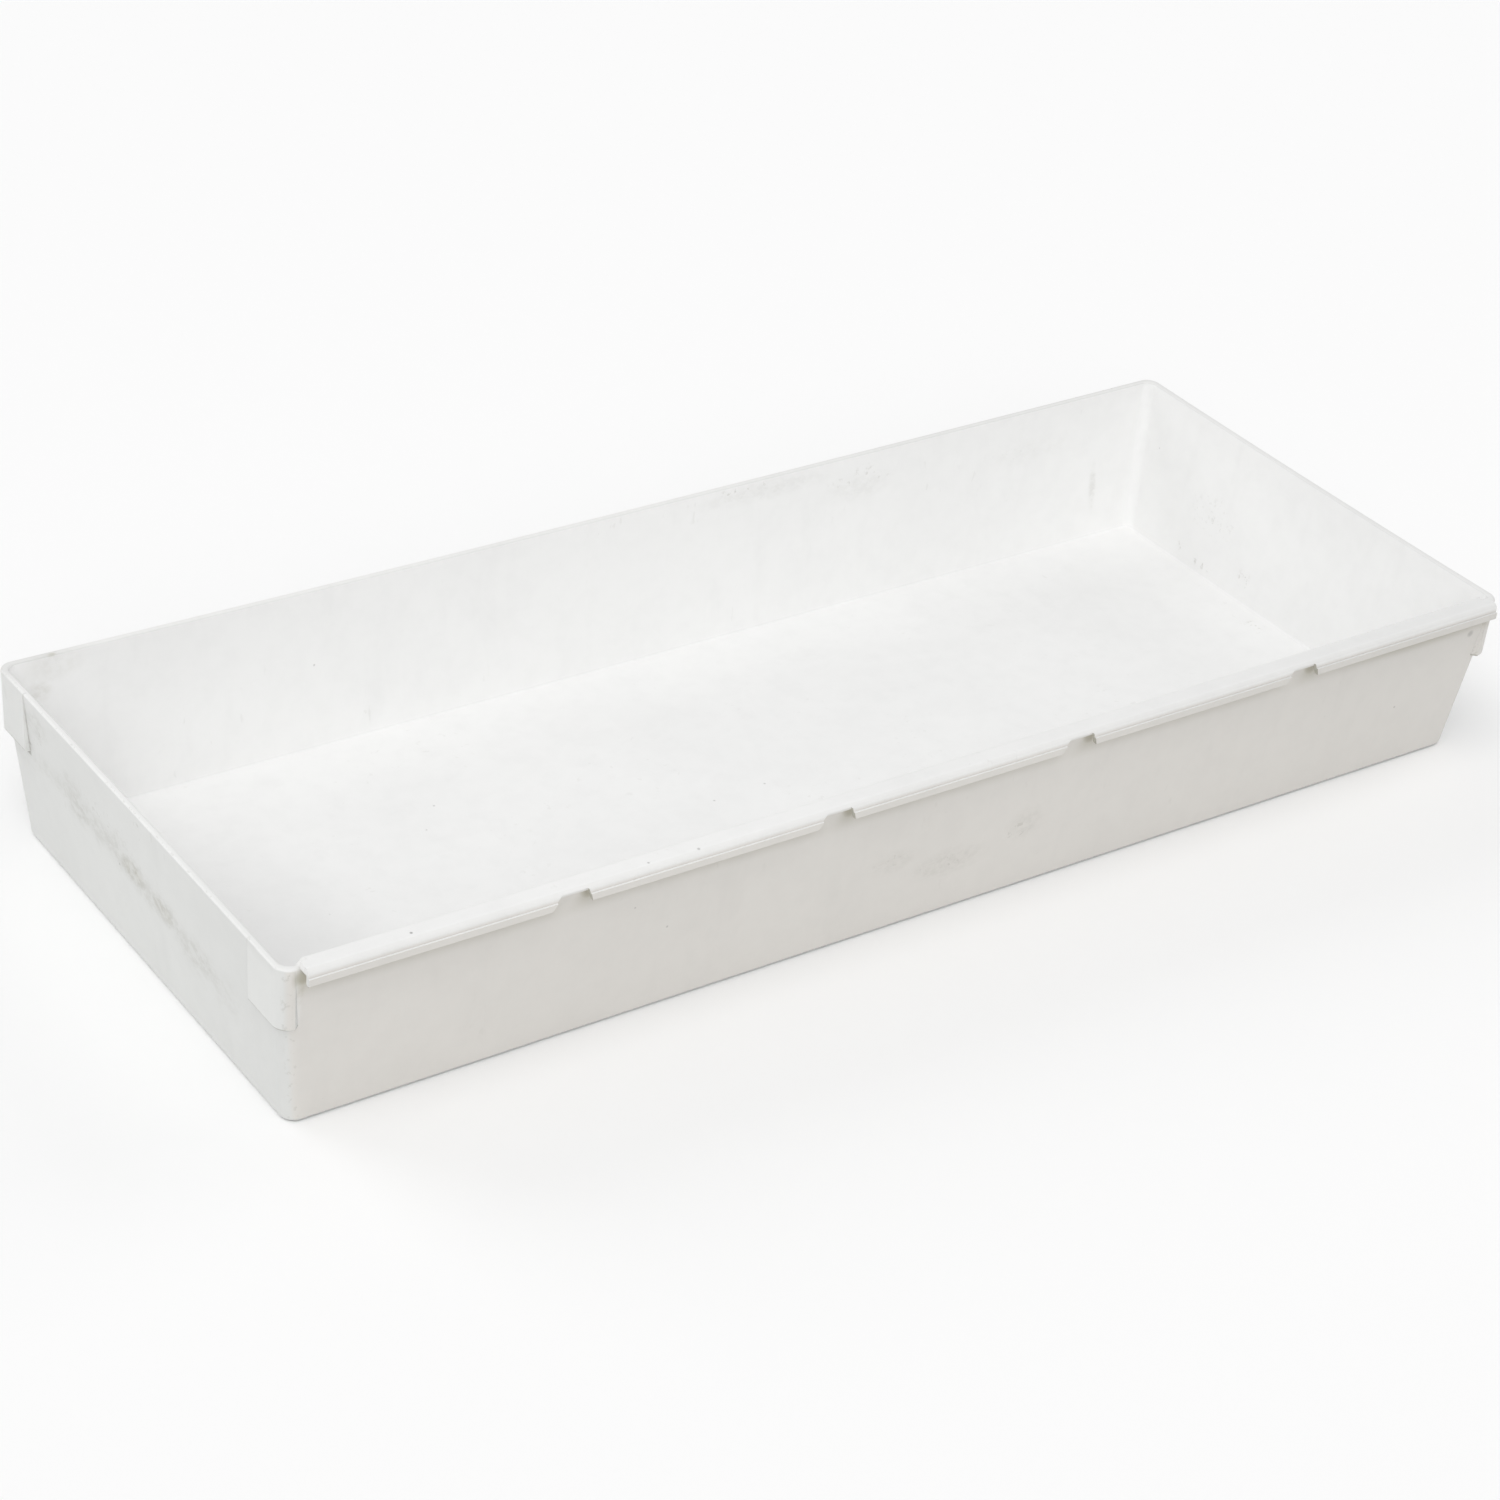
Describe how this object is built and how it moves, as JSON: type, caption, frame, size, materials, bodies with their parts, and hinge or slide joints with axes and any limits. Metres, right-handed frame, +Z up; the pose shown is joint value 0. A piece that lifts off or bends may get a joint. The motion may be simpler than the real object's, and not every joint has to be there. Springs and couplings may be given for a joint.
{
  "type": "drawer organizer tray",
  "caption": "Long shallow open tray for organizing a drawer, with drafted walls, corner spacer pads and a gapped hook lip along the front that clips over the next tray's rim.",
  "frame": {"origin": "centre of the flat face that the tray rests on, midway between its walls; the lip's overhang isn't counted", "axes": "+X along the tray's length towards the right end, +Y from the lip side to the back wall, +Z up"},
  "size_m": [0.381, 0.1576, 0.0504],
  "materials": {
    "white_plastic": "satin white moulded plastic, lightly scuffed"
  },
  "bodies": {
    "root": {"floor_panel": "white_plastic", "front_wall": "white_plastic", "back_wall": "white_plastic", "left_end_wall": "white_plastic", "right_end_wall": "white_plastic", "front_left_corner": "white_plastic", "front_right_corner": "white_plastic", "back_left_corner": "white_plastic", "back_right_corner": "white_plastic", "front_left_spacer_pad": "white_plastic", "front_right_spacer_pad": "white_plastic", "back_left_spacer_pad": "white_plastic", "back_right_spacer_pad": "white_plastic", "lip_rail": "white_plastic", "lip_hook_1": "white_plastic", "lip_hook_2": "white_plastic", "lip_hook_3": "white_plastic", "lip_hook_4": "white_plastic", "lip_hook_5": "white_plastic"}
  },
  "joints": []
}
